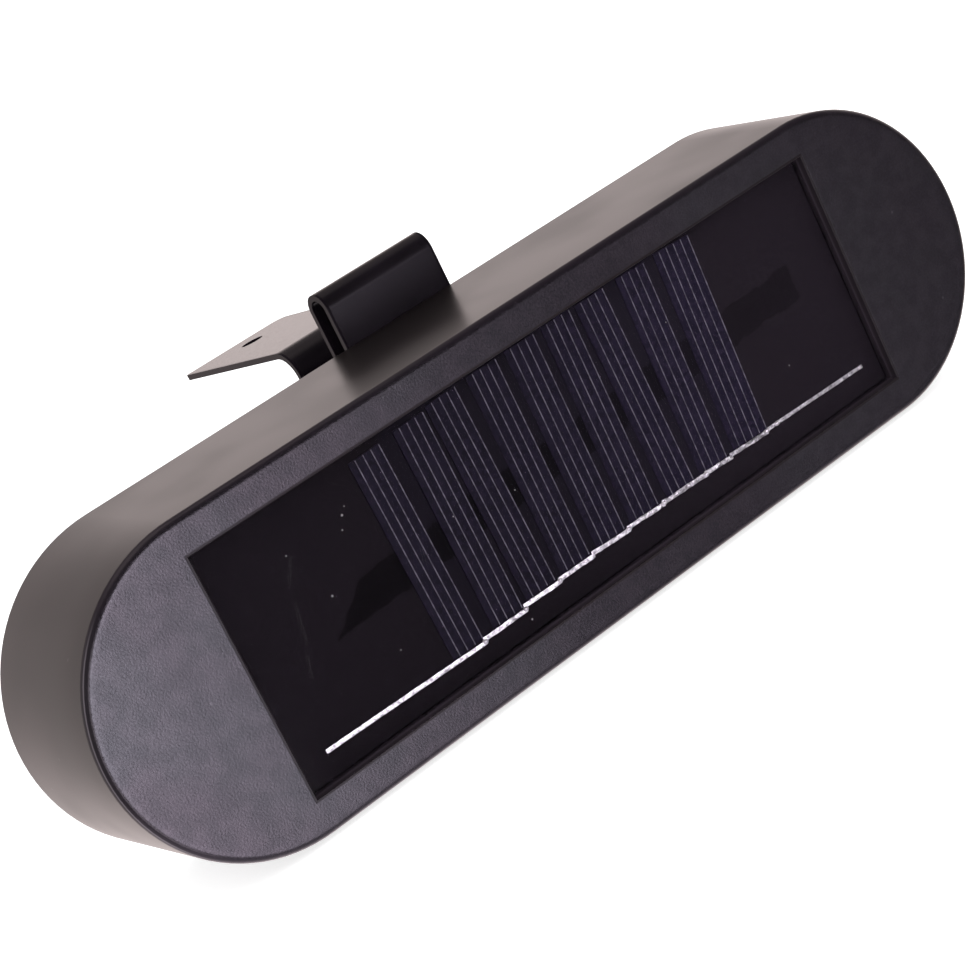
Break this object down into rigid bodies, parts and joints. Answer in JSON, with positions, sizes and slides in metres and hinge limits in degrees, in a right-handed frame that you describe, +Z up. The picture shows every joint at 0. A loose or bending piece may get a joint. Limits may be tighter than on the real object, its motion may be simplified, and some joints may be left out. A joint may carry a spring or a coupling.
{
  "type": "solar gutter light",
  "caption": "Long round-ended solar light with a panel in its front, a downward lamp in its underside and a bent strip behind it that hooks over a gutter's edge.",
  "frame": {"origin": "where the gutter's edge seats: the top of the hook's slot, in the middle of its width and of its clear gap", "axes": "+X along the case, to the right of someone who faces the panel, +Y from the panel's face back to the gutter, +Z up"},
  "size_m": [0.2068, 0.1069, 0.0733],
  "materials": {
    "case_plastic": "charcoal moulded plastic with a fine grain on the front face",
    "cover_plastic": "charcoal moulded plastic",
    "seal_rubber": "soft black rubber",
    "panel_resin": "clear gloss resin",
    "panel_black": "black solder mask",
    "glue": "soft grey adhesive",
    "silicon": "dark blue violet silicon",
    "silver_print": "fine printed silver",
    "tinned_ribbon": "bright tinned copper",
    "frosted_lens": "frosted milky plastic",
    "white_plastic": "white",
    "white_board": "white solder mask",
    "phosphor": "yellow phosphor gel",
    "zinc_screw": "zinc plated",
    "green_board": "green solder mask",
    "chip_black": "moulded epoxy",
    "ferrite": "dark ferrite",
    "capacitor_sleeve": "shrunk sleeve",
    "socket_plastic": "natural nylon",
    "switch_steel": "plated steel",
    "knob_plastic": "black moulded plastic",
    "battery_sleeve": "shrunk sleeve",
    "holder_plastic": "black moulded plastic",
    "spring_steel": "nickel plated",
    "lead_insulation": "soft insulation",
    "steel_screw": "stainless steel",
    "coated_steel": "satin dark bronze powder coat",
    "black_screw": "black zinc plated"
  },
  "bodies": {
    "light": {"front_housing": "case_plastic", "back_cover": "cover_plastic", "cover_seal": "seal_rubber", "panel_cover": "panel_resin", "panel_board": "panel_black", "panel_glue": "glue", "solar_cells": "silicon", "cell_lines": "silver_print", "silver_ribbon": "tinned_ribbon", "lamp_lens": "frosted_lens", "lens_seal": "seal_rubber", "reflector": "white_plastic", "lamp_board": "white_board", "lamp_chips": "white_plastic", "chip_phosphor": "phosphor", "lamp_screws": "zinc_screw", "control_board": "green_board", "board_chips": "chip_black", "board_coil": "ferrite", "board_capacitor": "capacitor_sleeve", "board_sockets": "socket_plastic", "board_screws": "zinc_screw", "switch_body": "switch_steel", "switch_seal": "seal_rubber", "battery_cell": "battery_sleeve", "battery_holder": "holder_plastic", "holder_pad": "glue", "battery_spring": "spring_steel", "battery_contacts": "spring_steel", "panel_leads": "lead_insulation", "battery_leads": "lead_insulation", "lamp_leads": "lead_insulation", "cover_screws": "steel_screw", "bracket_strip": "coated_steel", "bracket_screws": "black_screw"},
    "switch": {"switch_lever": "socket_plastic", "switch_knob": "knob_plastic"}
  },
  "joints": [
    {"name": "switch_slide", "type": "slide", "parent": "light", "child": "switch", "axis": [1, 0, 0], "range_m": [0, 0.003]}
  ]
}
